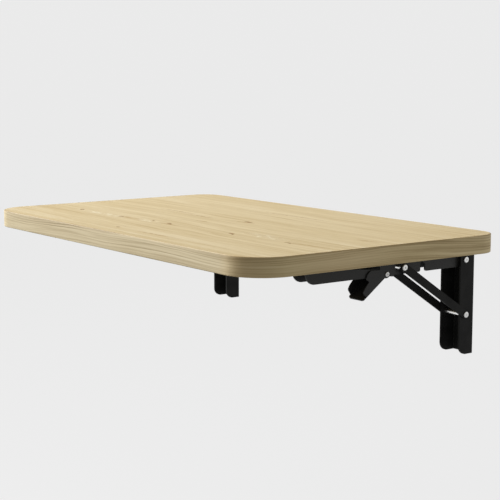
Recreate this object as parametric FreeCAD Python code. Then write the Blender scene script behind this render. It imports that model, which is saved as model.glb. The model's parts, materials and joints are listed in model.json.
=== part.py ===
import FreeCAD, Part
import math
import os

from FreeCAD import Vector

# Wall mounted drop leaf table on two folding brackets.  Millimetres, +Z up.
# The wall is the plane y = 0 and the table stands out from it along -Y.
# The origin is on the wall, at the centre of the four wall screw holes.

# ---- table top -------------------------------------------------------------
TOP_WIDTH = 500.0               # along the wall
TOP_DEPTH = 300.0               # out from the wall
TOP_THICKNESS = 18.0
FRONT_CORNER_RADIUS = 40.0
BACK_CORNER_RADIUS = 25.0
EDGE_BAND_THICKNESS = 1.0       # the strip glued round the board's edge
TOP_EDGE_ROUND = 0.8            # eased arris of the strip, top and bottom
WALL_GAP = 2.0                  # between the wall and the back edge

# ---- where the brackets stand ----------------------------------------------
BRACKET_INSET = 50.0            # each bracket's centre in from its end of the top
WALL_HOLE_PITCH = 48.0          # the two screw holes of one wall channel
WALL_HOLE_DIAMETER = 5.5
PIVOT_ABOVE_MOUNT = 46.9        # top pivot above the centre of the wall holes

# ---- linkage ---------------------------------------------------------------
PIVOT_DEPTH = 13.2              # top pivot in front of the wall
LOWER_PIVOT_DEPTH = 13.2        # lower pivot in front of the wall
PIVOT_SPACING = 55.0            # top pivot down to the lower pivot
BRACE_LENGTH = 100.0            # lower pivot to the slot pin
SLOT_RISE = 6.0                 # how far the arm's slot climbs towards the top
RUNNING_CLEARANCE = 0.05        # radial, rivet shanks in moving plates
SEAT_CLEARANCE = 0.03           # radial, rivet shanks in fixed plates
SIDE_CLEARANCE = 0.3            # between moving plates that pass each other
SLOT_CLEARANCE = 0.3            # radial, slot pin in the arm's slot

# ---- wall channel ----------------------------------------------------------
WALL_CHANNEL_WIDTH = 27.6
WALL_CHANNEL_DEPTH = 20.0
WALL_CHANNEL_SHEET = 2.0
WALL_CHANNEL_BEND = 2.8         # outside radius of the folded corners
WALL_CHANNEL_HEAD = 9.6         # above the top pivot
WALL_CHANNEL_TAIL = 40.4        # below the lower pivot
WALL_CHANNEL_TOP_ROUND = 7.0
WALL_CHANNEL_FOOT_ROUND = 9.0

# ---- shelf arm -------------------------------------------------------------
ARM_WIDTH = 20.0
ARM_SHEET = 1.5
ARM_BEND = 2.4                  # outside radius of the folded corners
ARM_REACH = 199.3               # top pivot to the front tip
ARM_WEB_ABOVE_PIVOT = 11.1      # top pivot up to the face under the table top
ARM_EDGE_BELOW_PIVOT = 7.0      # top pivot down to the flanges' lower edge
ARM_HEEL_RADIUS = 7.0
ARM_HEEL_REACH = 9.5            # top pivot back to the heel of the arm
ARM_TIP_ROUND = 10.0
NOTCH_CLEARANCE = 0.6           # round the lower pivot rivet when folded
NOTCH_MOUTH_ROUND = 2.0

# ---- brace bars ------------------------------------------------------------
BAR_WIDTH = 8.0
BAR_SHEET = 1.3
BAR_SIDE_GAP = 0.2              # between a bar and the wall channel's side

# ---- release lever ---------------------------------------------------------
LEVER_REACH = 102.4             # top pivot forward to the lever's rivet
LEVER_BELOW_PIVOT = 5.2         # top pivot down to the lever's rivet
LEVER_DROOP = 36.0              # degrees below the arm when the lever is at rest
LEVER_SHEET = 1.2
LEVER_BEND = 1.8
LEVER_BACK = 2.2                # lever rivet to the back face of its web
LEVER_HEEL = 3.4                # lever rivet to the lever's rounded heel
LEVER_HEEL_ROUND = 2.6
LEVER_PLATE_LENGTH = 32.4
LEVER_PAD_LENGTH = 36.6         # the web runs on past the plates as a finger pad
LEVER_TIP_HEIGHT = 6.4
LEVER_TIP_ROUND = 3.0
LEVER_WEB_START = 9.0           # keeps the web off the arm when the lever is pressed
LEVER_PAD_ROUND = 4.0
EAR_RADIUS = 4.2                # of the arm's flange under the lever rivet
EAR_FLANK = 6.0                 # how far the ear's flanks spread on each side

# ---- rivets, washers, springs and screws -----------------------------------
PIVOT_RIVET_DIAMETER = 4.8
SLOT_PIN_DIAMETER = 4.2
LEVER_RIVET_DIAMETER = 3.4
RIVET_HEAD_DIAMETER = 6.2
RIVET_HEAD_HEIGHT = 1.2
LEVER_HEAD_DIAMETER = 4.9
LEVER_HEAD_HEIGHT = 1.0
HEAD_DIMPLE_DIAMETER = 1.8
HEAD_DIMPLE_FLOOR = 0.6         # diameter of the dimple's flat floor
HEAD_DIMPLE_DEPTH = 0.4
HEAD_DOME_SHARE = 0.6           # of the head's height that its rounded rim takes
WASHER_DIAMETER = 10.0
WASHER_SIDE_GAP = 0.2           # between a washer and the arm's side
SPRING_WIRE = 0.8
SPRING_MEAN_RADIUS = 2.4
SPRING_PITCH = 1.0
SPRING_TURNS = 5
SPRING_LEG_LIFT = 12.0          # degrees by which the front leg rises
SPRING_FRONT_LEG = 10.5
SPRING_REAR_LEG = 4.5
SCREW_PLACES = (25.0, 100.0, 180.0)   # in front of the top pivot
SCREW_SHANK_DIAMETER = 3.5
SCREW_LENGTH = 14.0             # under the head
SCREW_TIP_LENGTH = 3.0
SCREW_TIP_DIAMETER = 0.7        # the blunt end of the point
SCREW_HEAD_DIAMETER = 8.0
SCREW_HEAD_HEIGHT = 2.2
SCREW_RECESS_LENGTH = 4.4
SCREW_RECESS_WIDTH = 1.0
SCREW_RECESS_DEPTH = 1.2

# ---- places worked out from the sizes above --------------------------------
SAME_PLACE = 1e-6               # lengths below this count as nothing
BRACKET_SPACING = TOP_WIDTH - 2 * BRACKET_INSET
PIVOT_Z = PIVOT_ABOVE_MOUNT
LOWER_PIVOT_Z = PIVOT_Z - PIVOT_SPACING
UNDERSIDE_Z = PIVOT_Z + ARM_WEB_ABOVE_PIVOT
PIN_DEPTH = LOWER_PIVOT_DEPTH + math.sqrt(BRACE_LENGTH ** 2 - PIVOT_SPACING ** 2)
PIN_START = PIN_DEPTH - PIVOT_DEPTH
FOLDED_SIDESTEP = PIVOT_DEPTH - LOWER_PIVOT_DEPTH + SLOT_RISE
PIN_END = PIVOT_SPACING + math.sqrt(BRACE_LENGTH ** 2 - FOLDED_SIDESTEP ** 2)
BRACE_RISE = math.degrees(math.asin(PIVOT_SPACING / BRACE_LENGTH))
BAR_INNER_X = WALL_CHANNEL_WIDTH / 2 + BAR_SIDE_GAP
BAR_OUTER_X = BAR_INNER_X + BAR_SHEET
LEVER_WIDTH = ARM_WIDTH + 2 * (SIDE_CLEARANCE + LEVER_SHEET)
LEVER_RIVET_DEPTH = PIVOT_DEPTH + LEVER_REACH
LEVER_RIVET_Z = PIVOT_Z - LEVER_BELOW_PIVOT


# ---- drawing helpers -------------------------------------------------------
def side_view(forward, height):
    """A point of the bracket's side view: forward from the wall, and up."""
    return Vector(0, -forward, height)


def plan_view(across, forward):
    """A point of a level section: across the bracket, and forward."""
    return Vector(across, -forward, 0)


def front_view(across, height):
    """A point of a section seen from the front."""
    return Vector(across, 0, height)


def rounded_face(corners, view):
    """A flat face whose corners are (first, second, radius), drawn in a view."""
    points = [view(first, second) for first, second, radius in corners]
    turns = []
    for index, point in enumerate(points):
        radius = corners[index][2]
        back = (points[index - 1] - point).normalize()
        on = (points[(index + 1) % len(points)] - point).normalize()
        half_angle = back.getAngle(on) / 2
        reach = radius / math.tan(half_angle)
        bulge = radius / math.sin(half_angle) - radius
        middle = point + (back + on).normalize() * bulge
        turns.append((point + back * reach, middle, point + on * reach))
    edges = []
    for index, (start, middle, end) in enumerate(turns):
        if corners[index][2] > 0:
            edges.append(Part.Arc(start, middle, end).toShape())
        following = turns[(index + 1) % len(turns)][0]
        if end.distanceToPoint(following) > SAME_PLACE:
            edges.append(Part.LineSegment(end, following).toShape())
    return Part.Face(Part.Wire(edges))


def side_prism(corners, width):
    """A side view outline made into a solid of a width, centred on x = 0."""
    face = rounded_face(corners, side_view)
    face.translate(Vector(-width / 2, 0, 0))
    return face.extrude(Vector(width, 0, 0))


def channel_corners(width, depth, sheet, bend):
    """The U of a folded channel: its web at zero, its flanges standing away."""
    half = width / 2
    inside = half - sheet
    fold = bend - sheet
    return [
        (-half, depth, 0), (-half, 0, bend), (half, 0, bend), (half, depth, 0),
        (inside, depth, 0), (inside, sheet, fold), (-inside, sheet, fold), (-inside, depth, 0),
    ]


def cross_bar(diameter, x_start, x_end, forward, height):
    """A round bar across the bracket."""
    start = side_view(forward, height) + Vector(x_start, 0, 0)
    return Part.makeCylinder(diameter / 2, x_end - x_start, start, Vector(1, 0, 0))


def cross_hole(diameter, clearance, forward, height):
    """A cutter that drills right across the bracket."""
    reach = BAR_OUTER_X + RIVET_HEAD_HEIGHT
    return cross_bar(diameter + 2 * clearance, -reach, reach, forward, height)


def rivet_head(diameter, height, face_x, side, forward, level):
    """A domed head with a peening dimple, on a face that looks to one side."""
    base = side_view(forward, level) + Vector(face_x, 0, 0)
    outward = Vector(side, 0, 0)
    head = Part.makeCylinder(diameter / 2, height, base, outward)
    rim = [edge for edge in head.Edges if abs(edge.CenterOfMass.x - face_x) > height / 2
           and edge.Length > diameter]
    head = head.makeFillet(height * HEAD_DOME_SHARE, rim)
    floor = base + outward * (height - HEAD_DIMPLE_DEPTH)
    dimple = Part.makeCone(HEAD_DIMPLE_FLOOR / 2, HEAD_DIMPLE_DIAMETER / 2, HEAD_DIMPLE_DEPTH,
                           floor, outward)
    return head.cut(dimple)


def through_rivet(shank, head, head_height, face_x, forward, height):
    """A rivet across the bracket with a head on each outer face."""
    rivet = cross_bar(shank, -face_x, face_x, forward, height)
    for side in (-1, 1):
        rivet = rivet.fuse(rivet_head(head, head_height, side * face_x, side, forward, height))
    return rivet.removeSplitter()


# ---- table top -------------------------------------------------------------
def screw_points():
    """Every table screw's place: its bracket's x and its distance forward."""
    places = []
    for side in (-1, 1):
        for reach in SCREW_PLACES:
            places.append((side * BRACKET_SPACING / 2, PIVOT_DEPTH + reach))
    return places


def board_blank(inset):
    """The board's outline drawn in by a distance and given its thickness."""
    half = TOP_WIDTH / 2 - inset
    back = WALL_GAP + inset
    front = WALL_GAP + TOP_DEPTH - inset
    back_radius = BACK_CORNER_RADIUS - inset
    front_radius = FRONT_CORNER_RADIUS - inset
    outline = rounded_face([(-half, back, back_radius), (half, back, back_radius),
                            (half, front, front_radius), (-half, front, front_radius)], plan_view)
    outline.translate(Vector(0, 0, UNDERSIDE_Z))
    return outline.extrude(Vector(0, 0, TOP_THICKNESS))


def make_table_top():
    board = board_blank(EDGE_BAND_THICKNESS)
    pilot_depth = SCREW_LENGTH - ARM_SHEET + SEAT_CLEARANCE
    pilot_radius = SCREW_SHANK_DIAMETER / 2 + SEAT_CLEARANCE
    for x, forward in screw_points():
        foot = Vector(x, -forward, UNDERSIDE_Z)
        board = board.cut(Part.makeCylinder(pilot_radius, pilot_depth, foot))
    return board


def make_edge_band():
    """The strip round the board's edge, its arrises eased top and bottom."""
    blank = board_blank(0)
    arrises = [edge for edge in blank.Edges if edge.BoundBox.ZLength < SAME_PLACE]
    return blank.makeFillet(TOP_EDGE_ROUND, arrises).cut(board_blank(EDGE_BAND_THICKNESS))


# ---- bracket pieces, drawn about x = 0 -------------------------------------
def make_wall_channel():
    top = PIVOT_Z + WALL_CHANNEL_HEAD
    bottom = LOWER_PIVOT_Z - WALL_CHANNEL_TAIL
    section = channel_corners(WALL_CHANNEL_WIDTH, WALL_CHANNEL_DEPTH,
                              WALL_CHANNEL_SHEET, WALL_CHANNEL_BEND)
    channel = rounded_face(section, plan_view)
    channel.translate(Vector(0, 0, bottom))
    channel = channel.extrude(Vector(0, 0, top - bottom))
    outline = [
        (0, bottom, 0), (WALL_CHANNEL_DEPTH, bottom, WALL_CHANNEL_FOOT_ROUND),
        (WALL_CHANNEL_DEPTH, top, WALL_CHANNEL_TOP_ROUND), (0, top, 0),
    ]
    channel = channel.common(side_prism(outline, WALL_CHANNEL_WIDTH))
    channel = channel.cut(cross_hole(PIVOT_RIVET_DIAMETER, SEAT_CLEARANCE, PIVOT_DEPTH, PIVOT_Z))
    channel = channel.cut(cross_hole(PIVOT_RIVET_DIAMETER, SEAT_CLEARANCE,
                                     LOWER_PIVOT_DEPTH, LOWER_PIVOT_Z))
    for side in (-1, 1):
        level = side * WALL_HOLE_PITCH / 2
        hole = Part.makeCylinder(WALL_HOLE_DIAMETER / 2, WALL_CHANNEL_DEPTH,
                                 Vector(0, 0, level), Vector(0, -1, 0))
        channel = channel.cut(hole)
    return channel


def arm_outline():
    """Side view of the shelf arm, from its heel along the lower edge to the tip."""
    top = UNDERSIDE_Z
    low = PIVOT_Z - ARM_EDGE_BELOW_PIVOT
    heel = PIVOT_DEPTH - ARM_HEEL_REACH
    tip = PIVOT_DEPTH + ARM_REACH
    notch = PIVOT_DEPTH + PIVOT_SPACING
    notch_half = PIVOT_RIVET_DIAMETER / 2 + NOTCH_CLEARANCE
    notch_top = PIVOT_Z - (PIVOT_DEPTH - LOWER_PIVOT_DEPTH) + notch_half
    ear_low = LEVER_RIVET_Z - EAR_RADIUS
    return [
        (heel, top, 0), (heel, low, ARM_HEEL_RADIUS),
        (notch - notch_half, low, NOTCH_MOUTH_ROUND),
        (notch - notch_half, notch_top, notch_half), (notch + notch_half, notch_top, notch_half),
        (notch + notch_half, low, NOTCH_MOUTH_ROUND),
        (LEVER_RIVET_DEPTH - EAR_FLANK, low, NOTCH_MOUTH_ROUND),
        (LEVER_RIVET_DEPTH - EAR_RADIUS / 2, ear_low, EAR_RADIUS),
        (LEVER_RIVET_DEPTH + EAR_RADIUS / 2, ear_low, EAR_RADIUS),
        (LEVER_RIVET_DEPTH + EAR_FLANK, low, NOTCH_MOUTH_ROUND),
        (tip, low, ARM_TIP_ROUND), (tip, top, 0),
    ]


def slot_corners():
    """The inclined slot that the pin slides in, as a rounded side view."""
    radius = SLOT_PIN_DIAMETER / 2 + SLOT_CLEARANCE
    run = PIN_END - PIN_START
    length = math.hypot(run, SLOT_RISE)
    along = (run / length, SLOT_RISE / length)
    up = (-along[1], along[0])
    start = (PIVOT_DEPTH + PIN_START, PIVOT_Z)
    end = (PIVOT_DEPTH + PIN_END, PIVOT_Z + SLOT_RISE)
    corners = []
    for (forward, height), way, lift in ((start, -1, 1), (start, -1, -1), (end, 1, -1), (end, 1, 1)):
        corners.append((forward + radius * (way * along[0] + lift * up[0]),
                        height + radius * (way * along[1] + lift * up[1]), radius))
    return corners


def make_shelf_arm():
    heel = PIVOT_DEPTH - ARM_HEEL_REACH
    length = ARM_HEEL_REACH + ARM_REACH
    height = ARM_WEB_ABOVE_PIVOT + LEVER_BELOW_PIVOT + EAR_RADIUS
    section = channel_corners(ARM_WIDTH, height, ARM_SHEET, ARM_BEND)
    hanging = [(across, UNDERSIDE_Z - away, radius) for across, away, radius in section]
    arm = rounded_face(hanging, front_view)
    arm.translate(Vector(0, -heel, 0))
    arm = arm.extrude(Vector(0, -length, 0))
    arm = arm.common(side_prism(arm_outline(), ARM_WIDTH))
    arm = arm.cut(side_prism(slot_corners(), ARM_WIDTH))
    arm = arm.cut(cross_hole(PIVOT_RIVET_DIAMETER, RUNNING_CLEARANCE, PIVOT_DEPTH, PIVOT_Z))
    arm = arm.cut(cross_hole(LEVER_RIVET_DIAMETER, SEAT_CLEARANCE,
                             LEVER_RIVET_DEPTH, LEVER_RIVET_Z))
    for reach in SCREW_PLACES:
        foot = Vector(0, -(PIVOT_DEPTH + reach), UNDERSIDE_Z - ARM_SHEET)
        arm = arm.cut(Part.makeCylinder(SCREW_SHANK_DIAMETER / 2 + SEAT_CLEARANCE, ARM_SHEET, foot))
    return arm


def make_brace_bar(side):
    """One flat bar from the lower pivot up to the slot pin's eye."""
    half = BAR_WIDTH / 2
    back = LOWER_PIVOT_DEPTH - half
    front = LOWER_PIVOT_DEPTH + BRACE_LENGTH + half
    low = LOWER_PIVOT_Z - half
    high = LOWER_PIVOT_Z + half
    bar = side_prism([(back, low, half), (front, low, half), (front, high, half),
                      (back, high, half)], BAR_SHEET)
    bar.translate(Vector(side * (BAR_INNER_X + BAR_SHEET / 2), 0, 0))
    bar = bar.cut(cross_hole(PIVOT_RIVET_DIAMETER, RUNNING_CLEARANCE,
                             LOWER_PIVOT_DEPTH, LOWER_PIVOT_Z))
    bar = bar.cut(cross_hole(SLOT_PIN_DIAMETER, SEAT_CLEARANCE,
                             LOWER_PIVOT_DEPTH + BRACE_LENGTH, LOWER_PIVOT_Z))
    bar.rotate(side_view(LOWER_PIVOT_DEPTH, LOWER_PIVOT_Z), Vector(1, 0, 0), -BRACE_RISE)
    return bar


def make_top_pivot_rivet():
    return through_rivet(PIVOT_RIVET_DIAMETER, RIVET_HEAD_DIAMETER, RIVET_HEAD_HEIGHT,
                         WALL_CHANNEL_WIDTH / 2, PIVOT_DEPTH, PIVOT_Z)


def make_top_pivot_washers():
    """Two washers that centre the arm between the wall channel's flanges."""
    seat = WALL_CHANNEL_WIDTH / 2 - WALL_CHANNEL_SHEET
    inner = ARM_WIDTH / 2 + WASHER_SIDE_GAP
    washers = []
    for start, end in ((-seat, -inner), (inner, seat)):
        washer = cross_bar(WASHER_DIAMETER, start, end, PIVOT_DEPTH, PIVOT_Z)
        washers.append(washer.cut(cross_hole(PIVOT_RIVET_DIAMETER, SEAT_CLEARANCE,
                                             PIVOT_DEPTH, PIVOT_Z)))
    return Part.makeCompound(washers)


def make_lower_pivot_rivet():
    return through_rivet(PIVOT_RIVET_DIAMETER, RIVET_HEAD_DIAMETER, RIVET_HEAD_HEIGHT,
                         BAR_OUTER_X, LOWER_PIVOT_DEPTH, LOWER_PIVOT_Z)


def make_brace_eye_rivets():
    """The peened ends that hold the slot pin's eyes: one in each brace bar."""
    rivets = []
    for side in (-1, 1):
        start, end = sorted((side * BAR_INNER_X, side * BAR_OUTER_X))
        stub = cross_bar(SLOT_PIN_DIAMETER, start, end, PIN_DEPTH, PIVOT_Z)
        head = rivet_head(RIVET_HEAD_DIAMETER, RIVET_HEAD_HEIGHT, side * BAR_OUTER_X, side,
                          PIN_DEPTH, PIVOT_Z)
        rivets.append(stub.fuse(head).removeSplitter())
    return Part.makeCompound(rivets)


def make_slot_pin():
    reach = BAR_INNER_X - SIDE_CLEARANCE
    return cross_bar(SLOT_PIN_DIAMETER, -reach, reach, PIN_DEPTH, PIVOT_Z)


def make_lever_rivet():
    return through_rivet(LEVER_RIVET_DIAMETER, LEVER_HEAD_DIAMETER, LEVER_HEAD_HEIGHT,
                         LEVER_WIDTH / 2, LEVER_RIVET_DEPTH, LEVER_RIVET_Z)


def droop(piece):
    """Turn a piece drawn along the arm down to the lever's rest angle."""
    piece.rotate(side_view(LEVER_RIVET_DEPTH, LEVER_RIVET_Z), Vector(1, 0, 0), LEVER_DROOP)
    return piece


def make_release_lever():
    """A folded handle: two plates outside the arm and a web that the fingers lift."""
    back = LEVER_RIVET_Z - LEVER_BACK
    heel = LEVER_RIVET_DEPTH - LEVER_HEEL
    tip = LEVER_RIVET_DEPTH + LEVER_PAD_LENGTH
    section = channel_corners(LEVER_WIDTH, LEVER_BACK + LEVER_TIP_HEIGHT, LEVER_SHEET, LEVER_BEND)
    standing = [(across, back + away, radius) for across, away, radius in section]
    lever = rounded_face(standing, front_view)
    lever.translate(Vector(0, -heel, 0))
    lever = lever.extrude(Vector(0, heel - tip, 0))
    plate_end = LEVER_RIVET_DEPTH + LEVER_PLATE_LENGTH
    outline = [
        (heel, back, LEVER_HEEL_ROUND), (tip, back, 0), (tip, back + LEVER_SHEET, 0),
        (plate_end, back + LEVER_SHEET, 0),
        (plate_end, LEVER_RIVET_Z + LEVER_TIP_HEIGHT, LEVER_TIP_ROUND),
        (heel, LEVER_RIVET_Z + LEVER_HEEL, LEVER_HEEL_ROUND),
    ]
    lever = lever.common(side_prism(outline, LEVER_WIDTH))
    half = LEVER_WIDTH / 2
    plan = rounded_face([(-half, heel, 0), (half, heel, 0), (half, tip, LEVER_PAD_ROUND),
                         (-half, tip, LEVER_PAD_ROUND)], plan_view)
    plan.translate(Vector(0, 0, back))
    lever = lever.common(plan.extrude(Vector(0, 0, LEVER_BACK + LEVER_TIP_HEIGHT)))
    inside = LEVER_WIDTH - 2 * LEVER_SHEET
    window = Part.makeBox(inside, LEVER_HEEL + LEVER_WEB_START, LEVER_BACK,
                          Vector(-inside / 2, -(LEVER_RIVET_DEPTH + LEVER_WEB_START), back))
    lever = lever.cut(window)
    lever = lever.cut(cross_hole(LEVER_RIVET_DIAMETER, RUNNING_CLEARANCE,
                                 LEVER_RIVET_DEPTH, LEVER_RIVET_Z))
    return droop(lever)


def make_lever_spring():
    """A torsion spring round the lever's rivet, with its front leg on the web."""
    wire = SPRING_WIRE / 2
    lift = math.radians(SPRING_LEG_LIFT)
    height = SPRING_PITCH * (SPRING_TURNS + SPRING_LEG_LIFT / 360)
    helix = Part.makeHelix(SPRING_PITCH, height, SPRING_MEAN_RADIUS)
    start = Vector(SPRING_MEAN_RADIUS, 0, 0)
    profile = Part.Wire(Part.makeCircle(wire, start, Vector(0, 1, 0)))
    coil = Part.Wire(helix).makePipeShell([profile], True, True)
    end = Vector(SPRING_MEAN_RADIUS * math.cos(lift), SPRING_MEAN_RADIUS * math.sin(lift), height)
    rear_leg = Part.makeCylinder(wire, SPRING_REAR_LEG, start, Vector(0, -1, 0))
    front_leg = Part.makeCylinder(wire, SPRING_FRONT_LEG, end,
                                  Vector(-math.sin(lift), math.cos(lift), 0))
    spring = coil.fuse([rear_leg, front_leg])
    spring.translate(Vector(0, 0, -height / 2))
    spring.rotate(Vector(0, 0, 0), Vector(1, 0, -1), 180)
    spring.translate(side_view(LEVER_RIVET_DEPTH, LEVER_RIVET_Z))
    return droop(spring)


def make_table_screw(forward):
    """A pan head screw up through the arm's web, with a cross recess."""
    seat = UNDERSIDE_Z - ARM_SHEET
    head = Part.makeCylinder(SCREW_HEAD_DIAMETER / 2, SCREW_HEAD_HEIGHT,
                             Vector(0, -forward, seat - SCREW_HEAD_HEIGHT))
    rim = [edge for edge in head.Edges if abs(edge.CenterOfMass.z - seat) > SCREW_HEAD_HEIGHT / 2
           and edge.Length > SCREW_HEAD_DIAMETER]
    head = head.makeFillet(SCREW_HEAD_HEIGHT / 2, rim)
    shank_length = SCREW_LENGTH - SCREW_TIP_LENGTH
    radius = SCREW_SHANK_DIAMETER / 2
    shank = Part.makeCylinder(radius, shank_length, Vector(0, -forward, seat))
    tip = Part.makeCone(radius, SCREW_TIP_DIAMETER / 2, SCREW_TIP_LENGTH,
                        Vector(0, -forward, seat + shank_length))
    screw = head.fuse([shank, tip]).removeSplitter()
    floor = seat - SCREW_HEAD_HEIGHT
    for length, width in ((SCREW_RECESS_LENGTH, SCREW_RECESS_WIDTH),
                          (SCREW_RECESS_WIDTH, SCREW_RECESS_LENGTH)):
        screw = screw.cut(Part.makeBox(length, width, SCREW_RECESS_DEPTH,
                                       Vector(-length / 2, -forward - width / 2, floor)))
    return screw


def make_table_screws():
    return Part.makeCompound([make_table_screw(PIVOT_DEPTH + reach) for reach in SCREW_PLACES])


# ---- assembly --------------------------------------------------------------
BRACKET_PIECES = {
    "wall_channel": make_wall_channel,
    "shelf_arm": make_shelf_arm,
    "brace_left_bar": lambda: make_brace_bar(-1),
    "brace_right_bar": lambda: make_brace_bar(1),
    "top_pivot_rivet": make_top_pivot_rivet,
    "top_pivot_washers": make_top_pivot_washers,
    "lower_pivot_rivet": make_lower_pivot_rivet,
    "brace_eye_rivets": make_brace_eye_rivets,
    "slot_pin": make_slot_pin,
    "release_lever": make_release_lever,
    "lever_rivet": make_lever_rivet,
    "lever_spring": make_lever_spring,
    "table_screws": make_table_screws,
}


def build():
    nodes = {"table_top": make_table_top(), "edge_band": make_edge_band()}
    for bracket, side in (("left", -1), ("right", 1)):
        for name, make in BRACKET_PIECES.items():
            piece = make()
            piece.translate(Vector(side * BRACKET_SPACING / 2, 0, 0))
            nodes[bracket + "_" + name] = piece
    return nodes


def export(nodes):
    os.makedirs("parts", exist_ok=True)
    for name, shape in nodes.items():
        shape.exportStep(os.path.join("parts", name + ".step"))
        box = shape.BoundBox
        print("%-28s solids %d valid %s volume %.1f box %.1f %.1f %.1f" % (
            name, len(shape.Solids), shape.isValid(), shape.Volume,
            box.XLength, box.YLength, box.ZLength))


export(build())
print("slot pin travel %.3f mm" % math.hypot(PIN_END - PIN_START, SLOT_RISE))
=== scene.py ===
# %% [markdown]
# # A drop leaf table on two folding brackets
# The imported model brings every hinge, pin and plate at its real size and place.
# This lesson keeps that metalwork, gives each finish its own procedural material,
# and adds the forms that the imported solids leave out: the veneer strip whose figure
# runs round the board's edge, and the wide cheeks of the two release levers.

# %% Load the frame
import bpy
import json
import math
import numpy as np
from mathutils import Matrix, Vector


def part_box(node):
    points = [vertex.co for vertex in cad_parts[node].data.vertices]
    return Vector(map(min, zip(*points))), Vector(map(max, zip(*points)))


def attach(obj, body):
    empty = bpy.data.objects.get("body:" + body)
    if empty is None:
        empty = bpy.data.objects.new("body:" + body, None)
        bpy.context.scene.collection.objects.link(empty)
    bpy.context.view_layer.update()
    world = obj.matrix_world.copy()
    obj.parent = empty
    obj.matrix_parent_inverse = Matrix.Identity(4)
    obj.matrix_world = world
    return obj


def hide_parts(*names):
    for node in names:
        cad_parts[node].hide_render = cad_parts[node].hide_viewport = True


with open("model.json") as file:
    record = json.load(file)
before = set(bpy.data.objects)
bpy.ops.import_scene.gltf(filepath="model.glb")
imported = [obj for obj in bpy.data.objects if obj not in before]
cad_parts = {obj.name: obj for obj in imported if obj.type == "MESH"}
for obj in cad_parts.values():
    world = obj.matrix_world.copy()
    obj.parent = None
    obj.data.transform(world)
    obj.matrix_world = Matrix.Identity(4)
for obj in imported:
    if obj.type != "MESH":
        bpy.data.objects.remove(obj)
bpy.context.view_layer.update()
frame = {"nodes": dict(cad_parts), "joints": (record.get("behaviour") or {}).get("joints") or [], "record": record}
nodes = frame["nodes"]

# %% [markdown]
# ## The camera
# The view is a three-quarter one from the right, and the lens is a short telephoto.
# A camera that stays level from side to side needs no roll, so two angles describe it:
# the turn away from facing the wall, and the dip below the horizon.

# %% Place the camera
CAMERA_PLACE = (1.1085, -0.9336, 0.2335)
CAMERA_TURN = math.radians(53.75)
CAMERA_DIP = math.radians(7.96)
CAMERA_LENS = 93.3                  # millimetres, on a sensor 36 mm wide
CAMERA_REACH = 60                   # metres: nothing farther off is drawn

camera = bpy.data.objects.new("camera", bpy.data.cameras.new("camera"))
bpy.context.scene.collection.objects.link(camera)
camera.location = CAMERA_PLACE
camera.rotation_euler = (math.pi / 2 - CAMERA_DIP, 0, CAMERA_TURN)
camera.data.lens = CAMERA_LENS
camera.data.clip_end = CAMERA_REACH
bpy.context.scene.camera = camera
bpy.context.scene.view_settings.view_transform = "Standard"
print("camera at", CAMERA_PLACE)

# %% [markdown]
# ## Surfaces on a grid
# Every new piece here starts from one idea: a grid of points worked out by a formula,
# turned into quads. A grid may close on itself one way, as a ring does, or both ways.


# %% Make a mesh from a grid of points
def grid_faces(rows, columns, close_rows, close_columns):
    """Quads between neighbours (i, j) and (i + 1, j + 1), wrapping where a way closes."""
    i = np.arange(rows if close_rows else rows - 1)
    j = np.arange(columns if close_columns else columns - 1)
    i, j = np.meshgrid(i, j, indexing="ij")
    i_next = (i + 1) % rows
    j_next = (j + 1) % columns
    quads = np.stack([i * columns + j, i * columns + j_next,
                      i_next * columns + j_next, i_next * columns + j], axis=-1)
    return quads.reshape(-1, 4)


def mesh_object(name, points, faces, smooth=True):
    """An object at the origin whose mesh holds the given points and faces."""
    mesh = bpy.data.meshes.new(name)
    corners = [list(map(int, face)) for face in faces]
    mesh.from_pydata(points.reshape(-1, 3).tolist(), [], corners)
    mesh.polygons.foreach_set("use_smooth", np.full(len(mesh.polygons), smooth))
    mesh.update()
    piece = bpy.data.objects.new(name, mesh)
    bpy.context.scene.collection.objects.link(piece)
    return piece


print("quads on a grid of 4 by 3 points:", len(grid_faces(4, 3, False, False)))

# %% [markdown]
# ## The veneer strip round the board
# On the real table a thin strip of veneer is glued round the edge, and its grain runs
# on round the corners. A solid block with one wood texture would show end grain on
# the sides instead. So the strip is a small profile carried round the outline, and
# its own UV map measures metres along the edge and metres up it.

# %% Walk round the board's outline
BOARD_LOW, BOARD_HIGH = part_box("edge_band")
FRONT_CORNER = 0.040                # radii in metres
BACK_CORNER = 0.025
CORNER_STEPS = 24
EDGE_STEPS = 40


def board_outline():
    """Points and outward normals round a rectangle whose corners are quarter circles.

    Each corner is centre + radius * (cos a, sin a) as a sweeps 90 degrees, and each
    straight run is shared out evenly between the corners beside it. The walk starts
    at the back, so the strip's joint faces the wall.
    """
    x0, y0 = BOARD_LOW[0], BOARD_LOW[1]
    x1, y1 = BOARD_HIGH[0], BOARD_HIGH[1]
    corners = [(x0 + BACK_CORNER, y1 - BACK_CORNER, BACK_CORNER, 90),
               (x0 + FRONT_CORNER, y0 + FRONT_CORNER, FRONT_CORNER, 180),
               (x1 - FRONT_CORNER, y0 + FRONT_CORNER, FRONT_CORNER, -90),
               (x1 - BACK_CORNER, y1 - BACK_CORNER, BACK_CORNER, 0)]
    points, normals = [], []
    for index, (cx, cy, radius, start) in enumerate(corners):
        angle = np.radians(start + np.linspace(0, 90, CORNER_STEPS))
        normal = np.stack([np.cos(angle), np.sin(angle)], axis=1)
        arc = np.array([cx, cy]) + radius * normal
        next_x, next_y, next_radius, _ = corners[(index + 1) % len(corners)]
        target = np.array([next_x, next_y]) + next_radius * normal[-1]
        share = np.linspace(0, 1, EDGE_STEPS + 2)[1:-1, None]
        run = arc[-1] * (1 - share) + target * share
        points += [arc, run]
        normals += [normal, np.repeat(normal[-1:], EDGE_STEPS, axis=0)]
    return np.concatenate(points), np.concatenate(normals)


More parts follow.
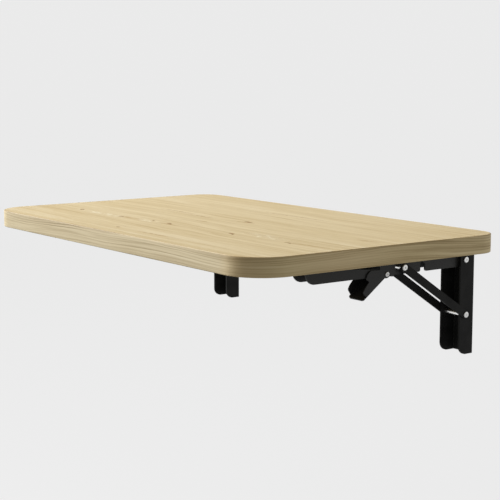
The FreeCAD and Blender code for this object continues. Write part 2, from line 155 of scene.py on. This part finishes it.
outline, outline_normals = board_outline()
strides = np.linalg.norm(np.roll(outline, -1, axis=0) - outline, axis=1)
along = np.concatenate([[0], np.cumsum(strides)])
print("outline points", len(outline), "length", round(float(along[-1]), 4))

# %% Carry the strip's profile round the outline
STRIP_THICKNESS = 0.001             # metres
ARRIS = 0.0008                      # radius of the strip's eased outer corners
ARRIS_STEPS = 5
FACE_STEPS = 3


def strip_profile(height):
    """A thin upright strip, its two outer arrises quarter circles, as (inset, level)."""
    angle = np.linspace(0, np.pi / 2, ARRIS_STEPS)
    low = np.stack([ARRIS - ARRIS * np.sin(angle), ARRIS - ARRIS * np.cos(angle)], axis=1)
    high = np.stack([low[::-1, 0], height - low[::-1, 1]], axis=1)
    level = np.linspace(ARRIS, height - ARRIS, FACE_STEPS + 2)[1:-1]
    middle = np.stack([np.zeros(FACE_STEPS), level], axis=1)
    inner = np.array([[STRIP_THICKNESS, height], [STRIP_THICKNESS, 0.0]])
    return np.concatenate([low, middle, high, inner])


def make_edge_strip():
    """point(i, j) = outline(i) - normal(i) * inset(j), lifted to level(j)."""
    profile = strip_profile(BOARD_HIGH[2] - BOARD_LOW[2])
    flat = outline[:, None, :] - outline_normals[:, None, :] * profile[None, :, :1]
    level = np.broadcast_to(profile[None, :, 1:] + BOARD_LOW[2], flat.shape[:2] + (1,))
    points = np.concatenate([flat, level], axis=2)
    faces = grid_faces(len(outline), len(profile), True, True)[:, ::-1]
    strip = mesh_object("board_edge_strip", points, faces)
    around = faces // len(profile)
    u = along[around]
    # The last quads end where the walk began, so their far side is one whole lap along.
    last = around.max(axis=1, keepdims=True) == len(outline) - 1
    u[(around == 0) & last] = along[-1]
    v = profile[faces % len(profile), 1]
    layer = strip.data.uv_layers.new(name="along_edge")
    layer.data.foreach_set("uv", np.stack([u, v], axis=-1).astype(np.float32).ravel())
    return strip


edge_strip = make_edge_strip()
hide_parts("edge_band")
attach(edge_strip, "table")
print("strip faces", len(edge_strip.data.polygons))

# %% [markdown]
# ## The cheeks of the release levers
# The two plates of a release lever are wide pressings: they lie against the arm's sides,
# hide part of its slot, and end in a square catch behind which the sliding pin sits. The
# packed lever has only slim plates, because a solid catch would stop the pin when the
# table folds on its own. So each lever gets two thin cheeks here, cut from one outline.

# %% Draw the outline of a cheek
MM_PER_METRE = 1000
CHEEK_CORNERS = [                   # millimetres forward of the rivet and above it, then ease
    (28.1, -13.2, 0.5), (27.0, -10.8, 2.0), (21.8, -5.4, 1.0), (25.2, -3.0, 1.0),
    (25.2, 0.8, 2.0), (20.6, 4.9, 1.5), (9.0, 4.9, 0.4), (9.0, 8.8, 1.0), (-10.3, 8.8, 2.0),
    (-10.3, 0.4, 0.8), (-7.6, -3.0, 0.8), (-2.6, -2.4, 0.6), (-2.7, 2.7, 2.2),
    (2.7, 2.7, 2.2), (2.7, -0.5, 0.8), (4.5, -4.2, 0.5), (23.2, -17.4, 0.5), (27.6, -15.1, 0.5),
]
EASE_STEPS = 6


def eased_outline(corners):
    """Corner c becomes the curve (1-s)^2 a + 2s(1-s) c + s^2 b as s goes from 0 to 1.

    The points a and b lie on its two sides, as far from c as its ease says.
    """
    corners = np.array(corners)
    place, ease = corners[:, :2], corners[:, 2:]
    s = np.linspace(0, 1, EASE_STEPS)[:, None]

    def towards(neighbour):
        side = neighbour - place
        return place + side / np.linalg.norm(side, axis=1, keepdims=True) * ease

    before = towards(np.roll(place, 1, axis=0))
    after = towards(np.roll(place, -1, axis=0))
    curve = ((1 - s) ** 2 * before[:, None] + 2 * s * (1 - s) * place[:, None]
             + s ** 2 * after[:, None])
    return curve.reshape(-1, 2)


cheek_outline = eased_outline(CHEEK_CORNERS) / MM_PER_METRE
print("cheek outline points", len(cheek_outline))

# %% Cut the cheeks
LEVER_JOINT = next(joint for joint in frame["joints"] if joint["name"] == "right_lever_press")
BRACKET_PLACE, RIVET_Y, RIVET_Z = LEVER_JOINT["pos_m"]
CHEEK_FACES = (0.01032, 0.01148)    # metres from a bracket's middle to a cheek's two faces


def flat_plate(edge, x_low, x_high):
    """point(i, j) = (x(i), edge(j)): a ring of quads between two many-sided caps."""
    count = len(edge)
    y = RIVET_Y - edge[:, 0]
    z = RIVET_Z + edge[:, 1]
    points = np.concatenate([np.stack([np.full(count, x), y, z], axis=1)
                             for x in (x_low, x_high)])
    sides = grid_faces(2, count, False, True).tolist()
    low_cap = list(range(count))[::-1]
    high_cap = list(range(count, 2 * count))
    faces = sides + [low_cap, high_cap]
    area = np.sum(y * np.roll(z, -1) - np.roll(y, -1) * z)
    if area < 0:                    # clockwise as seen from +X, so every face turns over
        faces = [face[::-1] for face in faces]
    return points, faces


def make_cheeks(name, middle):
    """A plate at each side of a bracket's middle, the two joined into one mesh."""
    inner, outer = CHEEK_FACES
    points, faces = flat_plate(cheek_outline, middle + inner, middle + outer)
    far_points, far_faces = flat_plate(cheek_outline, middle - outer, middle - inner)
    far_faces = [[index + len(points) for index in face] for face in far_faces]
    both = np.concatenate([points, far_points])
    return mesh_object(name, both, faces + far_faces, smooth=False)


cheeks = []
for bracket, middle in (("left", -BRACKET_PLACE), ("right", BRACKET_PLACE)):
    cheek = make_cheeks(bracket + "_lever_cheeks", middle)
    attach(cheek, bracket + "_lever")
    cheeks.append(cheek)
print("cheek faces", len(cheeks[0].data.polygons))

# %% [markdown]
# ## Building materials from nodes
# Each material is a chain of small steps. Short helpers keep the chains readable:
# one adds a node and wires its inputs, one does a piece of arithmetic, and one
# makes noise on coordinates that have been stretched to the grain's proportions.


# %% Add nodes
def feed(tree, socket, value):
    """Link a node's output to an input, or set the input to a constant."""
    if isinstance(value, bpy.types.NodeSocket):
        tree.links.new(value, socket)
    else:
        socket.default_value = value


def add_node(tree, kind, settings=None, **inputs):
    """A node with its settings made and its named inputs set or linked."""
    node = tree.nodes.new(kind)
    for key, value in (settings or {}).items():
        setattr(node, key, value)
    for key, value in inputs.items():
        feed(tree, node.inputs[key], value)
    return node


def arithmetic(tree, operation, first, second=0.0, clamp=False):
    """One step of arithmetic on numbers or sockets."""
    node = add_node(tree, "ShaderNodeMath", {"operation": operation, "use_clamp": clamp})
    for socket, value in zip(node.inputs, (first, second)):
        feed(tree, socket, value)
    return node.outputs[0]


def new_material(name):
    """A material with its tree and its shader node."""
    material = bpy.data.materials.new(name)
    material.use_nodes = True
    shader = material.node_tree.nodes["Principled BSDF"]
    return material, material.node_tree, shader


def dress(piece, material):
    """Give a piece one material alone."""
    piece.data.materials.clear()
    piece.data.materials.append(material)


print("node helpers ready")

# %% Make noise and shape it
HALF = 0.5                          # the middle of a noise, which runs from 0 to 1


def stretched(tree, source, scale, offset):
    """Coordinates times a scale per axis, after an offset in metres."""
    for operation, amount in (("ADD", offset), ("MULTIPLY", scale)):
        node = add_node(tree, "ShaderNodeVectorMath", {"operation": operation})
        feed(tree, node.inputs[0], source)
        feed(tree, node.inputs[1], amount)
        source = node.outputs[0]
    return source


def noise(tree, source, scale, offset=(0, 0, 0), detail=3.0, roughness=0.5):
    """Noise from 0 to 1 whose grains are one over the scale across, per axis."""
    node = add_node(tree, "ShaderNodeTexNoise", Vector=stretched(tree, source, scale, offset),
                    Scale=1.0, Detail=detail, Roughness=roughness)
    return node.outputs["Fac"]


def excess(tree, layer, start, gain, clamp=False):
    """How far a layer is past a start, enlarged: (layer - start) * gain."""
    past = arithmetic(tree, "SUBTRACT", layer, start)
    return arithmetic(tree, "MULTIPLY", past, gain, clamp)


def weighted_sum(tree, layers):
    """Layers of (noise, weight), each centred on zero, added up about a half."""
    total = None
    for layer, weight in layers:
        share = excess(tree, layer, HALF, weight)
        total = share if total is None else arithmetic(tree, "ADD", total, share)
    return arithmetic(tree, "ADD", total, HALF, clamp=True)


def waved(tree, coordinate, waves):
    """The coordinate plus each wave of (noise, depth in metres)."""
    for wave, depth in waves:
        swing = arithmetic(tree, "MULTIPLY", wave, depth)
        coordinate = arithmetic(tree, "ADD", coordinate, swing)
    return coordinate


print("noise helpers ready")

# %% Turn numbers into colour, gloss and relief
MIX_SHARE, MIX_FIRST, MIX_SECOND = 0, 6, 7   # a mix node's inputs for colours, by number
MIX_RESULT = 2


def ramp(tree, value, stops):
    """A colour that runs through stops of (position, red, green, blue)."""
    node = add_node(tree, "ShaderNodeValToRGB", Fac=value)
    band = node.color_ramp
    while len(band.elements) < len(stops):
        band.elements.new(HALF)     # its own place is set below
    for element, (position, red, green, blue) in zip(band.elements, stops):
        element.position = position
        element.color = (red, green, blue, 1)
    return node.outputs["Color"]


def blend_colours(tree, share, first, second, mode="MIX"):
    """First colour towards second colour by a share."""
    node = add_node(tree, "ShaderNodeMix", {"data_type": "RGBA", "blend_type": mode})
    for index, value in ((MIX_SHARE, share), (MIX_FIRST, first), (MIX_SECOND, second)):
        feed(tree, node.inputs[index], value)
    return node.outputs[MIX_RESULT]


def vary_roughness(tree, shader, level, layer, span):
    """Roughness = level + layer * span."""
    roughness = arithmetic(tree, "ADD", level, arithmetic(tree, "MULTIPLY", layer, span))
    tree.links.new(roughness, shader.inputs["Roughness"])


def add_bump(tree, shader, height, distance, strength=1.0):
    """Bump of a depth in metres from a height between 0 and 1."""
    bump = add_node(tree, "ShaderNodeBump", Height=height, Distance=distance, Strength=strength)
    tree.links.new(bump.outputs["Normal"], shader.inputs["Normal"])


print("colour helpers ready")

# %% [markdown]
# ## The board's wood
# The faces are pale ash: long straight figure along the board, a slow drift that bends
# it, broad tonal bands and fine pores. On the upper face there are also thin brown
# lines, pale crazing and a few small brown pips. Everything reads object coordinates
# in metres, so each size below is a real one.

# %% Place the marks on the board
PIPS = [                            # x, y, half length and half width in metres, then lean
    (-0.1805, -0.2247, 0.0055, 0.0026, -0.30), (-0.0047, -0.2191, 0.0075, 0.0026, -0.38),
    (0.0990, -0.2153, 0.0085, 0.0028, -0.38), (-0.0930, -0.2242, 0.0045, 0.0020, 0.0),
    (-0.0140, -0.2749, 0.0040, 0.0018, 0.0), (0.0310, -0.1457, 0.0090, 0.0022, -0.10),
    (0.1836, -0.2121, 0.0060, 0.0024, -0.20), (-0.0399, -0.2172, 0.0040, 0.0020, -0.30),
]
DARK_LINES = [                      # thin brown lines, a few of them through a pip
    (-0.073, -0.2235, 0.030, 0.0024, 0.04), (-0.003, -0.2220, 0.020, 0.0022, 0.0),
    (0.058, -0.2770, 0.036, 0.0018, 0.0), (0.028, -0.1490, 0.022, 0.0024, 0.10),
    (0.206, -0.2085, 0.034, 0.0024, 0.10), (-0.100, -0.1470, 0.045, 0.0020, -0.02),
    (-0.042, -0.1540, 0.026, 0.0022, -0.06), (0.020, -0.0750, 0.060, 0.0016, 0.0),
    (-0.004, -0.1795, 0.015, 0.0020, 0.0), (0.218, -0.1450, 0.019, 0.0022, 0.10),
]
CRAZED_PATCHES = [                  # where pale crazing shows in the figure
    (-0.132, -0.2270, 0.056, 0.0085, 0.0), (-0.042, -0.2220, 0.024, 0.0065, 0.0),
    (0.132, -0.2010, 0.042, 0.0110, -0.05),
]


def spots(tree, x, y, places):
    """The strongest of several soft ellipses, each 1 at its middle and 0 at its rim.

    Across is (x - place) / half length, and up is (y - place - lean * (x - place)) /
    half width, so a lean tips the ellipse over. Its height is 1 - across^2 - up^2.
    """
    strongest = None
    for place_x, place_y, half_length, half_width, lean in places:
        from_x = arithmetic(tree, "SUBTRACT", x, place_x)
        from_y = arithmetic(tree, "SUBTRACT", arithmetic(tree, "SUBTRACT", y, place_y),
                            arithmetic(tree, "MULTIPLY", from_x, lean))
        across = arithmetic(tree, "DIVIDE", from_x, half_length)
        up = arithmetic(tree, "DIVIDE", from_y, half_width)
        square = arithmetic(tree, "ADD", arithmetic(tree, "MULTIPLY", across, across),
                            arithmetic(tree, "MULTIPLY", up, up))
        spot = arithmetic(tree, "SUBTRACT", 1.0, square, clamp=True)
        strongest = spot if strongest is None else arithmetic(tree, "MAXIMUM", strongest, spot)
    return strongest


print("pips", len(PIPS), "dark lines", len(DARK_LINES), "crazed patches", len(CRAZED_PATCHES))

# %% Lay crazing, lines and pips over the figure
CRAZE_CREAM = (0.93, 0.84, 0.62, 1)
CRAZE_STRENGTH = 0.95
VEIN_SHARPNESS = 14.0
LINE_BROWN = (0.50, 0.34, 0.15, 1)
LINE_STRENGTH = 0.95
PIP_BROWN = (0.33, 0.19, 0.07, 1)
PIP_STRENGTH = 1.4                  # past 1 the middle of a pip is all brown
RAGGEDNESS = 0.006                  # metres that a mark's rim wanders in all


def lay_crazing(tree, colour, grain, x, y, upper):
    """Pale veins of height 1 - sharpness * |noise - 1/2|, kept to the crazed patches."""
    vein = noise(tree, grain, (42.0, 210.0, 60.0), (0.5, 0.1, 0), detail=2.0)
    vein = arithmetic(tree, "ABSOLUTE", arithmetic(tree, "SUBTRACT", vein, HALF))
    vein = arithmetic(tree, "MULTIPLY", vein, VEIN_SHARPNESS)
    vein = arithmetic(tree, "SUBTRACT", 1.0, vein, clamp=True)
    craze = arithmetic(tree, "MULTIPLY", arithmetic(tree, "MULTIPLY", vein, upper),
                       spots(tree, x, y, CRAZED_PATCHES))
    share = arithmetic(tree, "MULTIPLY", craze, CRAZE_STRENGTH)
    return blend_colours(tree, share, colour, CRAZE_CREAM)


def lay_marks(tree, colour, place, x, y, upper):
    """The dark lines, then the pips over them, their rims made ragged by a fine noise."""
    wobble = noise(tree, place, (150.0, 260.0, 260.0), (0.4, 0.2, 0), detail=2.0)
    wobble = excess(tree, wobble, HALF, RAGGEDNESS)
    bent_x = arithmetic(tree, "ADD", x, wobble)
    bent_y = arithmetic(tree, "ADD", y, wobble)
    for places, strength, brown in ((DARK_LINES, LINE_STRENGTH, LINE_BROWN),
                                    (PIPS, PIP_STRENGTH, PIP_BROWN)):
        mark = spots(tree, bent_x, bent_y, places)
        mark = arithmetic(tree, "MULTIPLY", mark, strength, clamp=True)
        colour = blend_colours(tree, arithmetic(tree, "MULTIPLY", mark, upper), colour, brown)
    return colour


print("crazing at", CRAZE_STRENGTH, "and pips at", PIP_STRENGTH)

# %% Mix the board material
ASH_FIGURE = [(0.12, 0.540, 0.400, 0.190), (0.36, 0.660, 0.515, 0.275),
              (0.58, 0.730, 0.590, 0.345), (0.86, 0.800, 0.670, 0.430)]
BOARD_DRIFT = 0.040                 # metres that the figure drifts sideways
BOARD_RIPPLE = 0.006
FACE_LEVEL = 0.066                  # metres up: the marks belong to the upper face
PORE_BROWN = (0.40, 0.27, 0.11, 1)
PORE_START = 0.62                   # pores open where their noise is past this
PORE_SHARPNESS = 5.0
PORE_STRENGTH = 0.45
PORE_DEPTH = 0.8                    # of the fine grain's height
BOARD_ROUGHNESS = 0.52
BOARD_ROUGHNESS_SPAN = 0.16
BOARD_SPECULAR = 0.18
GRAIN_RELIEF = 0.0001               # metres


def make_board_material():
    """Figure = fine, middle and broad streaks; pores, crazing and marks lie on top.

    A noise's three numbers say how many grains go to the metre along x, y and z.
    """
    material, tree, shader = new_material("pale ash board")
    place = add_node(tree, "ShaderNodeTexCoord").outputs["Object"]
    x, y, z = add_node(tree, "ShaderNodeSeparateXYZ", Vector=place).outputs
    drift = noise(tree, place, (2.6, 7.0, 7.0), detail=1.0)
    ripple = noise(tree, place, (20.0, 55.0, 40.0), (0.3, 0, 0))
    waved_y = waved(tree, y, [(drift, BOARD_DRIFT), (ripple, BOARD_RIPPLE)])
    grain = add_node(tree, "ShaderNodeCombineXYZ", X=x, Y=waved_y, Z=z).outputs[0]
    fine = noise(tree, grain, (8.0, 420.0, 60.0), detail=5.0, roughness=0.65)
    lines = noise(tree, grain, (4.5, 150.0, 40.0), (0.7, 0, 0), roughness=0.6)
    bands = noise(tree, grain, (2.0, 38.0, 20.0), (0.2, 0, 0), detail=2.0)
    figure = weighted_sum(tree, [(fine, 1.0), (lines, 1.15), (bands, 0.5)])
    colour = ramp(tree, figure, ASH_FIGURE)
    pores = noise(tree, place, (45.0, 1200.0, 900.0), detail=1.0)
    pores = excess(tree, pores, PORE_START, PORE_SHARPNESS, clamp=True)
    pore_share = arithmetic(tree, "MULTIPLY", pores, PORE_STRENGTH)
    colour = blend_colours(tree, pore_share, colour, PORE_BROWN)
    upper = arithmetic(tree, "GREATER_THAN", z, FACE_LEVEL)
    colour = lay_crazing(tree, colour, grain, x, y, upper)
    colour = lay_marks(tree, colour, place, x, y, upper)
    tree.links.new(colour, shader.inputs["Base Color"])
    vary_roughness(tree, shader, BOARD_ROUGHNESS, fine, BOARD_ROUGHNESS_SPAN)
    shader.inputs["Specular IOR Level"].default_value = BOARD_SPECULAR
    relief = arithmetic(tree, "SUBTRACT", fine, arithmetic(tree, "MULTIPLY", pores, PORE_DEPTH))
    add_bump(tree, shader, relief, GRAIN_RELIEF)
    return material


board_material = make_board_material()
dress(nodes["table_top"], board_material)
print("board nodes", len(board_material.node_tree.nodes))

# %% [markdown]
# ## The strip's wood
# The strip was cut from curved stock, so its figure leaves the edge at shallow angles:
# lines that rise, crest and fall again as they run along it. A slow noise lifts the
# height by a few centimetres, and all the fine figure is drawn on that lifted height.
# Its colour also carries painted shading: outside the pale front run the strip is tinted warmer and browner, as
# wood looks in shade, a little darker round the front right corner, and a little lighter from the back of the
# right end on.

# %% Mix the strip material
STRIP_FIGURE = [(0.10, 0.350, 0.265, 0.145), (0.36, 0.530, 0.432, 0.262),
                (0.58, 0.660, 0.556, 0.356), (0.90, 0.740, 0.640, 0.434)]
STRIP_RISE = 0.036                  # metres that the figure rises and falls in all
STRIP_RIPPLE = 0.0034
LINE_PITCH = 0.0026                 # metres from one faint line to the next
FRONT_START = 0.337                 # metres along the edge to where the front run starts
STRIP_PAINTED_SHADING = [                      # metres past that start, then a painted shading tint
    (-0.060, 1.00, 0.95, 0.81), (0.010, 1.00, 1.00, 1.00), (0.412, 1.00, 1.00, 1.00),
    (0.436, 0.98, 0.89, 0.74), (0.480, 1.00, 0.95, 0.80), (0.533, 1.09, 1.01, 0.87),
    (0.628, 1.08, 1.02, 0.86), (0.690, 1.19, 1.14, 1.00),
]
RIM_LEVEL = 0.0172                  # metres up the strip: its upper arris and top
RIM_TINT = (0.92, 0.87, 0.80, 1)
STRIP_ROUGHNESS = 0.58
STRIP_SPECULAR = 0.2


def strip_colour(tree, figure, along_edge, height):
    """The figure's colour times the painted shading tint at this place along the edge, times the rim's."""
    lap = float(along[-1])
    stops = [((FRONT_START + metres) / lap, *tone) for metres, *tone in STRIP_PAINTED_SHADING]
    # the tint is painted shading: warmer and browner off the front run, darker at the front right corner, lighter
    # at the back
    tint = ramp(tree, arithmetic(tree, "DIVIDE", along_edge, lap), stops)
    colour = blend_colours(tree, 1.0, ramp(tree, figure, STRIP_FIGURE), tint, "MULTIPLY")
    rim = arithmetic(tree, "GREATER_THAN", height, RIM_LEVEL)
    return blend_colours(tree, rim, colour, RIM_TINT, "MULTIPLY")


def make_strip_material():
    """Figure = noises of the lifted height, and a faint sine of it over the pitch."""
    material, tree, shader = new_material("ash veneer strip")
    place = add_node(tree, "ShaderNodeUVMap", {"uv_map": "along_edge"}).outputs["UV"]
    along_edge, height, _ = add_node(tree, "ShaderNodeSeparateXYZ", Vector=place).outputs
    rise = noise(tree, place, (3.0, 8.0, 1.0), (3.4, 0, 0), detail=1.0)
    ripple = noise(tree, place, (13.0, 70.0, 1.0), (0.4, 0, 0))
    lifted = waved(tree, height, [(rise, STRIP_RISE), (ripple, STRIP_RIPPLE)])
    turns = arithmetic(tree, "MULTIPLY", lifted, 2 * math.pi / LINE_PITCH)
    lines = arithmetic(tree, "MULTIPLY", arithmetic(tree, "SINE", turns), HALF)
    lines = arithmetic(tree, "ADD", lines, HALF)
    follow = add_node(tree, "ShaderNodeCombineXYZ", X=along_edge, Y=lifted).outputs[0]
    fine = noise(tree, follow, (9.0, 800.0, 1.0), detail=4.0, roughness=0.65)
    streaks = noise(tree, follow, (4.0, 480.0, 1.0), (0.6, 0, 0), detail=2.0)
    patches = noise(tree, follow, (4.0, 90.0, 1.0), (0.9, 0, 0), detail=2.0)
    layers = [(lines, 0.13), (fine, 1.2), (streaks, 1.2), (patches, 0.85)]
    colour = strip_colour(tree, weighted_sum(tree, layers), along_edge, height)
    tree.links.new(colour, shader.inputs["Base Color"])
    shader.inputs["Roughness"].default_value = STRIP_ROUGHNESS
    shader.inputs["Specular IOR Level"].default_value = STRIP_SPECULAR
    add_bump(tree, shader, fine, GRAIN_RELIEF)
    return material


strip_material = make_strip_material()
dress(edge_strip, strip_material)
print("strip nodes", len(strip_material.node_tree.nodes))

# %% [markdown]
# ## Powder coat
# Powder coat is nearly black, a little satin, and faintly pebbled like orange peel. The
# arms and levers, which hands rub, are glossier than the wall channels and the bars, so
# the same coat is made twice, with more or less sheen.

# %% Mix the powder coats
COAT_TONES = [(0.30, 0.017, 0.017, 0.0165), (0.70, 0.028, 0.028, 0.0272)]
COAT_ROUGHNESS = 0.40
COAT_ROUGHNESS_SPAN = 0.16
TONE_GRAINS = (90.0, 90.0, 90.0)    # to the metre
PEEL_GRAINS = (2600.0, 2600.0, 2600.0)
PEEL_DEPTH = 0.00004                # metres
PEEL_STRENGTH = 0.8


def make_powder_coat(name, sheen):
    """Near black, with an orange peel bump about a third of a millimetre across."""
    material, tree, shader = new_material(name)
    place = add_node(tree, "ShaderNodeTexCoord").outputs["Object"]
    tone = noise(tree, place, TONE_GRAINS, detail=2.0)
    tree.links.new(ramp(tree, tone, COAT_TONES), shader.inputs["Base Color"])
    vary_roughness(tree, shader, COAT_ROUGHNESS, tone, COAT_ROUGHNESS_SPAN)
    peel = noise(tree, place, PEEL_GRAINS, detail=2.0)
    add_bump(tree, shader, peel, PEEL_DEPTH, PEEL_STRENGTH)
    shader.inputs["Specular IOR Level"].default_value = sheen
    return material


powder_coat = make_powder_coat("black powder coat", 0.05)
rubbed_coat = make_powder_coat("rubbed black powder coat", 0.20)
print("coat nodes", len(powder_coat.node_tree.nodes))

# %% [markdown]
# ## Bare metal
# The rivets, pins, screws and washers are zinc plated, and the springs are oiled steel.
# Each is a plain metal whose roughness wanders with handling. The small fasteners are
# peened or pressed, so they are greyer. The heads of the large rivets are greyer than
# their shanks too, and a head is told from a shank by how far out of the bracket it is.

# %% Mix the bare metals
HANDLED_GRAINS = (420.0, 420.0, 420.0)   # to the metre
DARK_SHADE = 0.86                   # of the metal's colour, where the noise is low
HANDLED_SPAN = 0.14
HANDLED_DEPTH = 0.00003             # metres
HEAD_START = 0.0138                 # metres from a bracket's middle out to its rivet heads


def on_a_head(tree, place):
    """1 on a rivet's head, where | |x| - bracket | is past its start, and otherwise 0."""
    x = add_node(tree, "ShaderNodeSeparateXYZ", Vector=place).outputs[0]
    outward = arithmetic(tree, "SUBTRACT", arithmetic(tree, "ABSOLUTE", x), BRACKET_PLACE)
    return arithmetic(tree, "GREATER_THAN", arithmetic(tree, "ABSOLUTE", outward), HEAD_START)


def make_bare_metal(name, colour, roughness, head_shade=1.0):
    """Metal whose colour and roughness follow one noise; heads take a shade of their own."""
    material, tree, shader = new_material(name)
    place = add_node(tree, "ShaderNodeTexCoord").outputs["Object"]
    handled = noise(tree, place, HANDLED_GRAINS)
    dark = [channel * DARK_SHADE for channel in colour]
    tint = ramp(tree, handled, [(0.25, *dark), (0.75, *colour)])
    shade = (head_shade, head_shade, head_shade, 1)
    tint = blend_colours(tree, on_a_head(tree, place), tint, shade, "MULTIPLY")
    tree.links.new(tint, shader.inputs["Base Color"])
    vary_roughness(tree, shader, roughness, handled, HANDLED_SPAN)
    shader.inputs["Metallic"].default_value = 1.0
    add_bump(tree, shader, handled, HANDLED_DEPTH)
    return material


bright_zinc = make_bare_metal("bright zinc", (0.92, 0.92, 0.90), 0.24, head_shade=0.55)
peened_zinc = make_bare_metal("peened zinc", (0.46, 0.46, 0.45), 0.34)
spring_steel = make_bare_metal("spring steel", (0.16, 0.16, 0.17), 0.36)
print("bare metal nodes", len(bright_zinc.node_tree.nodes))

# %% Dress the metalwork
FINISH_OF = {"black_steel": rubbed_coat, "bright_steel": bright_zinc, "spring_steel": spring_steel}
DULL_NODES = ("wall_channel", "bar")
SMALL_FASTENERS = ("lever_rivet", "screws", "washers")


def metal_finish(node, slot):
    """The finish of a metal node, or None for the board and its edge."""
    if node.endswith(SMALL_FASTENERS):
        return peened_zinc
    if node.endswith(DULL_NODES):
        return powder_coat
    return FINISH_OF.get(slot)


dressed = 0
for entry in frame["record"]["subparts"]:
    finish = metal_finish(entry["node"], entry["material_slot"])
    if finish:
        dress(nodes[entry["node"]], finish)
        dressed += 1
for cheek in cheeks:
    dress(cheek, rubbed_coat)
print("dressed metal nodes", dressed, "and cheeks", len(cheeks))

# %% [markdown]
# ## The studio
# A pale bowl stands under and around the table, far enough off that any view finds a
# plain ground. It is a surface of revolution: a flat floor that curves up into a wall.

# %% Turn the studio bowl
FLOOR_LEVEL = -1.80                 # metres
FLOOR_RADIUS = 4.0
FLOOR_HOLE = 0.02
BOWL_CURVE = 1.2
WALL_HEIGHT = 4.6
FLOOR_STEPS = 11
CURVE_STEPS = 16
TURN_STEPS = 96


def make_bowl():
    """point(i, j): radius(j) and level(j) of floor, quarter circle and wall, turned by i.

    A small flat disc fills the hole that the floor leaves in the middle.
    """
    floor = np.linspace(FLOOR_HOLE, FLOOR_RADIUS, FLOOR_STEPS, endpoint=False)
    curve = np.linspace(0, np.pi / 2, CURVE_STEPS)
    radius = np.concatenate([floor, FLOOR_RADIUS + BOWL_CURVE * np.sin(curve),
                             [FLOOR_RADIUS + BOWL_CURVE]])
    level = np.concatenate([np.zeros(FLOOR_STEPS), BOWL_CURVE * (1 - np.cos(curve)),
                            [WALL_HEIGHT]]) + FLOOR_LEVEL
    turn = np.linspace(0, 2 * np.pi, TURN_STEPS, endpoint=False)[:, None]
    points = np.stack([radius * np.cos(turn), radius * np.sin(turn),
                       np.broadcast_to(level, (TURN_STEPS, len(level)))], axis=-1)
    faces = grid_faces(TURN_STEPS, len(level), True, False)[:, ::-1]
    bowl = mesh_object("studio_bowl", points, faces)
    disc = mesh_object("studio_floor_centre", points[:, 0], [range(TURN_STEPS)])
    return bowl, disc


def seen_directly(tree):
    """1 for a ray from the camera, or by way of gloss or glass, and otherwise 0."""
    rays = add_node(tree, "ShaderNodeLightPath").outputs
    seen = arithmetic(tree, "MAXIMUM", rays["Is Camera Ray"], rays["Is Glossy Ray"])
    return arithmetic(tree, "MAXIMUM", seen, rays["Is Transmission Ray"])


print("bowl radius", FLOOR_RADIUS + BOWL_CURVE)

# %% Paint the studio bowl
GROUND_PAINT = (0.80, 0.80, 0.80, 1)
GROUND_ROUGHNESS = 0.9
GROUND_GLOW = (0.875, 0.875, 0.875, 1)
GLOW_SHARE = 0.85


def make_ground_material():
    """Paint that keeps shadows, mixed with an even glow wherever it is seen directly."""
    material, tree, shader = new_material("pale studio ground")
    shader.inputs["Base Color"].default_value = GROUND_PAINT
    shader.inputs["Roughness"].default_value = GROUND_ROUGHNESS
    glow = add_node(tree, "ShaderNodeEmission", Color=GROUND_GLOW, Strength=1.0)
    share = arithmetic(tree, "MULTIPLY", seen_directly(tree), GLOW_SHARE)
    mix = add_node(tree, "ShaderNodeMixShader")
    for socket, value in zip(mix.inputs, (share, shader.outputs[0], glow.outputs[0])):
        feed(tree, socket, value)
    tree.links.new(mix.outputs[0], tree.nodes["Material Output"].inputs["Surface"])
    return material


ground_material = make_ground_material()
for ground in make_bowl():
    dress(ground, ground_material)
    ground.visible_diffuse = False  # the bowl throws no light back on the table,
    ground.visible_shadow = False   # and the lamps shine through it
    print(ground.name, "faces", len(ground.data.polygons))

# %% [markdown]
# ## Soft light
# A large lamp on the left front lights the top and the front edge. A weak wide one stands
# in for the light that a pale wall throws back, and the surroundings give the rest, so
# the end away from the first lamp stays a third as bright.

# %% Hang the lamps
TABLE_MIDDLE = (0.0, -0.15, 0.04)
LAMPS = [                           # name, place and side in metres, then watts
    ("key_lamp", (-3.94, -2.10, 2.03), 1.8, 382.0),
    ("wall_glow", (2.9, 3.6, 0.6), 3.0, 26.0),
]


def add_lamp(name, place, side, watts):
    """A square soft lamp at a place, turned to face the table, itself out of sight."""
    light = bpy.data.lights.new(name, "AREA")
    light.size = side
    light.energy = watts
    lamp = bpy.data.objects.new(name, light)
    bpy.context.scene.collection.objects.link(lamp)
    lamp.visible_camera = False
    lamp.location = place
    x, y, z = np.array(TABLE_MIDDLE) - np.array(place)
    turn = math.atan2(y, x)
    dip = math.atan2(-z, math.hypot(x, y))
    lamp.rotation_euler = (math.pi / 2 - dip, 0, turn - math.pi / 2)


for lamp in LAMPS:
    add_lamp(*lamp)
print("lamps", len(LAMPS))

# %% Light the surroundings
AMBIENT_STRENGTH = 0.27
BACKDROP_STRENGTH = 0.83


def light_surroundings():
    """A white world: the ambient strength, raised to the backdrop's where it is seen."""
    world = bpy.data.worlds.new("studio")
    bpy.context.scene.world = world
    world.use_nodes = True
    sky = world.node_tree
    backdrop = sky.nodes["Background"]
    backdrop.inputs["Color"].default_value = (1, 1, 1, 1)
    extra = BACKDROP_STRENGTH - AMBIENT_STRENGTH
    strength = arithmetic(sky, "MULTIPLY", seen_directly(sky), extra)
    strength = arithmetic(sky, "ADD", strength, AMBIENT_STRENGTH)
    sky.links.new(strength, backdrop.inputs["Strength"])


light_surroundings()
print("ambient strength", AMBIENT_STRENGTH)
